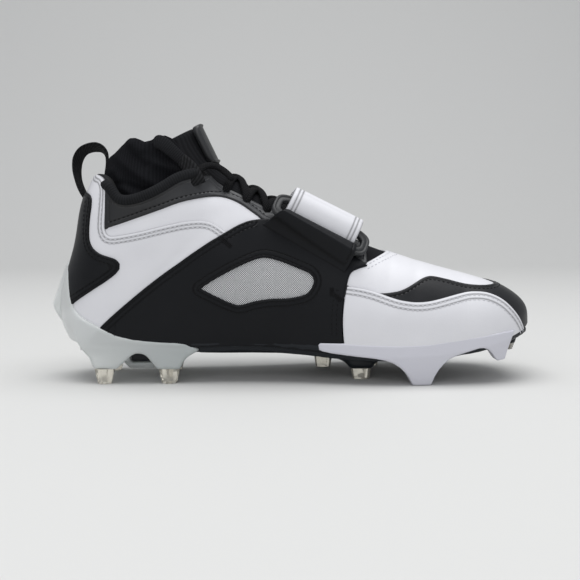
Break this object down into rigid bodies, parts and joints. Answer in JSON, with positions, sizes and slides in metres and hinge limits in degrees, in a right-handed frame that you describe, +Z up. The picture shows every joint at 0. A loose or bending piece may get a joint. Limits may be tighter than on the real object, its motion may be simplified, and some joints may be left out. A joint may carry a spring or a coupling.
{
  "type": "american football cleat",
  "caption": "Left mid-cut football cleat with a hollow leather upper, knit collar, instep strap through a ring, laces, and a studded moulded sole plate.",
  "frame": {"origin": "middle of the shoe's box, on the plane that the studs stand on", "axes": "+X from heel to toe, +Y from the medial to the lateral side, +Z up"},
  "size_m": [0.3036, 0.0998, 0.1548],
  "materials": {
    "white_leather": "smooth satin",
    "black_leather": "fine grain, satin",
    "grey_leather": "smooth satin",
    "black_knit": "ribbed knit and webbing",
    "grey_mesh": "open diagonal weave",
    "insole_foam": "brushed foam board",
    "ring_plastic": "moulded, satin",
    "clear_plate": "milky translucent",
    "white_plate": "moulded, satin",
    "black_plate": "moulded, glossy",
    "clear_tip": "clear with a warm tint"
  },
  "bodies": {
    "root": {"collar_roll_lateral": "black_knit", "collar_roll_medial": "black_knit", "cuff_band_lateral": "black_knit", "cuff_band_medial": "black_knit", "eyestay_lateral": "black_leather", "eyestay_medial": "black_leather", "forefoot_plate": "black_plate", "heel_counter": "black_leather", "heel_plate": "clear_plate", "insole": "insole_foam", "lace_crossings": "black_knit", "lace_keeper_lateral": "black_knit", "lace_keeper_medial": "black_knit", "medial_rail": "white_plate", "midfoot_mesh_lateral": "grey_mesh", "midfoot_mesh_medial": "grey_mesh", "midfoot_panel_lateral": "black_leather", "midfoot_panel_medial": "black_leather", "mudguard_lateral": "white_leather", "mudguard_medial": "white_leather", "pull_loop": "black_knit", "sock_collar": "black_knit", "strap": "white_leather", "strap_ring": "ring_plastic", "strap_tab": "black_leather", "stud_tip_edge_lateral": "clear_tip", "stud_tip_edge_medial": "white_plate", "stud_tip_front_lateral": "clear_tip", "stud_tip_front_medial": "white_plate", "stud_tip_heel_front_lateral": "clear_tip", "stud_tip_heel_front_medial": "clear_tip", "stud_tip_heel_rear_lateral": "clear_tip", "stud_tip_heel_rear_medial": "clear_tip", "stud_tip_inner_medial": "clear_tip", "stud_tip_middle_lateral": "clear_tip", "stud_tip_rear_lateral": "clear_tip", "stud_tip_toe": "clear_tip", "toe_wave": "black_leather", "tongue": "black_knit", "tongue_label": "grey_leather", "upper": "white_leather"}
  },
  "joints": []
}
